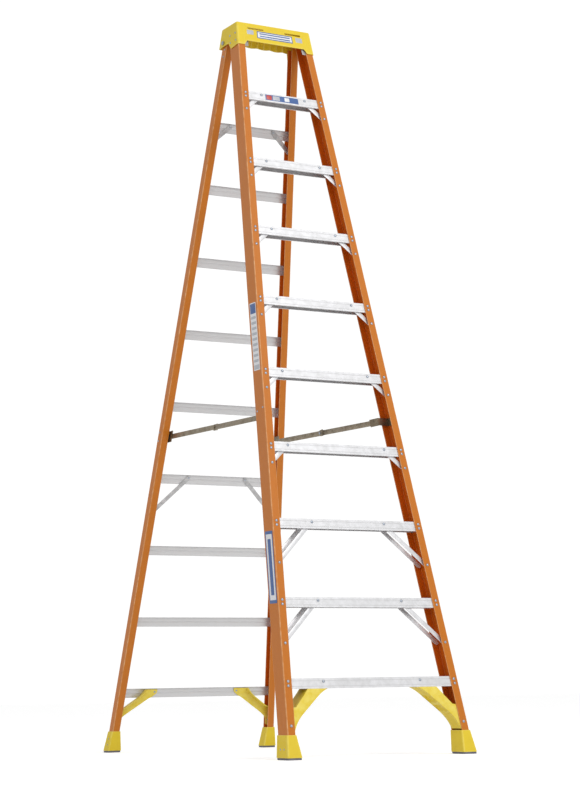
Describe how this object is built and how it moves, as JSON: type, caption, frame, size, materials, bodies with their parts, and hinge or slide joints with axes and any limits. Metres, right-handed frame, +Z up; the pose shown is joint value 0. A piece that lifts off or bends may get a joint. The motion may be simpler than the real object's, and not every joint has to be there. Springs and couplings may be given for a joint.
{
  "type": "step ladder",
  "caption": "Folding fibreglass step ladder standing open, with flat aluminium steps, a yellow top cap, yellow boots and corner braces, and hinged metal spreader bars.",
  "frame": {"origin": "on the floor under the middle of the open ladder", "axes": "+Z up; +X to the right for someone facing the steps; +Y from the steps towards the rear frame"},
  "size_m": [0.8078, 1.5958, 2.9645],
  "materials": {
    "fibreglass": "pultruded glass fibre rail, smooth, orange, faint lengthwise grain",
    "aluminium": "mill finish extrusion with fine lengthwise drawing lines",
    "yellow_plastic": "moulded, satin",
    "rubber": "grey, ribbed underside",
    "bronzed_steel": "olive bronze plating",
    "zinc_steel": "bright zinc"
  },
  "bodies": {
    "front_frame": {"top_cap": "yellow_plastic", "front_rail_right": "fibreglass", "front_rail_left": "fibreglass", "step_1": "aluminium", "step_2": "aluminium", "step_3": "aluminium", "step_4": "aluminium", "step_5": "aluminium", "step_6": "aluminium", "step_7": "aluminium", "step_8": "aluminium", "step_9": "aluminium", "arch_brace_right": "yellow_plastic", "arch_brace_left": "yellow_plastic", "long_knee_brace_2_right": "aluminium", "long_knee_brace_2_left": "aluminium", "long_knee_brace_3_right": "aluminium", "long_knee_brace_3_left": "aluminium", "short_knee_brace_4_right": "aluminium", "short_knee_brace_4_left": "aluminium", "short_knee_brace_5_right": "aluminium", "short_knee_brace_5_left": "aluminium", "short_knee_brace_6_right": "aluminium", "short_knee_brace_6_left": "aluminium", "short_knee_brace_7_right": "aluminium", "short_knee_brace_7_left": "aluminium", "short_knee_brace_8_right": "aluminium", "short_knee_brace_8_left": "aluminium", "front_boot_right": "yellow_plastic", "front_boot_left": "yellow_plastic", "front_foot_pad_right": "rubber", "front_foot_pad_left": "rubber", "hinge_bolt_right": "zinc_steel", "hinge_bolt_left": "zinc_steel", "spreader_front_bracket_right": "bronzed_steel", "spreader_front_bracket_left": "bronzed_steel"},
    "rear_frame": {"rear_rail_right": "fibreglass", "rear_rail_left": "fibreglass", "rear_bar_1": "aluminium", "rear_bar_2": "aluminium", "rear_bar_3": "aluminium", "rear_bar_4": "aluminium", "rear_bar_5": "aluminium", "rear_bar_6": "aluminium", "rear_bar_7": "aluminium", "rear_bar_8": "aluminium", "rear_bar_9": "aluminium", "rear_corner_brace_right": "yellow_plastic", "rear_corner_brace_left": "yellow_plastic", "rear_boot_right": "yellow_plastic", "rear_boot_left": "yellow_plastic", "rear_foot_pad_right": "rubber", "rear_foot_pad_left": "rubber", "spreader_rear_bracket_right": "bronzed_steel", "spreader_rear_bracket_left": "bronzed_steel"},
    "spreader_front_bar_left": {"spreader_front_bar_left": "bronzed_steel"},
    "spreader_rear_bar_left": {"spreader_rear_bar_left": "bronzed_steel"},
    "spreader_front_bar_right": {"spreader_front_bar_right": "bronzed_steel"},
    "spreader_rear_bar_right": {"spreader_rear_bar_right": "bronzed_steel"}
  },
  "joints": [
    {"name": "fold", "type": "hinge", "parent": "front_frame", "child": "rear_frame", "pos_m": [0, 0.04965, 2.9], "axis": [-1, 0, 0], "range_deg": [0, 28]},
    {"name": "spreader_front_right", "type": "hinge", "parent": "front_frame", "child": "spreader_front_bar_right", "pos_m": [0.2487, -0.36297, 1.284], "axis": [0.9971, 0, 0.0765], "range_deg": [0, 77.6]},
    {"name": "spreader_front_left", "type": "hinge", "parent": "front_frame", "child": "spreader_front_bar_left", "pos_m": [-0.2487, -0.36297, 1.284], "axis": [0.9971, 0, -0.0765], "range_deg": [0, 77.6]},
    {"name": "spreader_rear_right", "type": "hinge", "parent": "rear_frame", "child": "spreader_rear_bar_right", "pos_m": [0.25077, 0.41999, 1.3], "axis": [-0.9971, 0, -0.0765], "range_deg": [0, 78]},
    {"name": "spreader_rear_left", "type": "hinge", "parent": "rear_frame", "child": "spreader_rear_bar_left", "pos_m": [-0.25077, 0.41999, 1.3], "axis": [-0.9971, 0, 0.0765], "range_deg": [0, 78]}
  ],
  "couplings": [
    {"joint": "spreader_front_right", "follows": "fold", "ratio": 2.7547},
    {"joint": "spreader_front_left", "follows": "fold", "ratio": 2.7547},
    {"joint": "spreader_rear_right", "follows": "fold", "ratio": 2.7672},
    {"joint": "spreader_rear_left", "follows": "fold", "ratio": 2.7672}
  ]
}
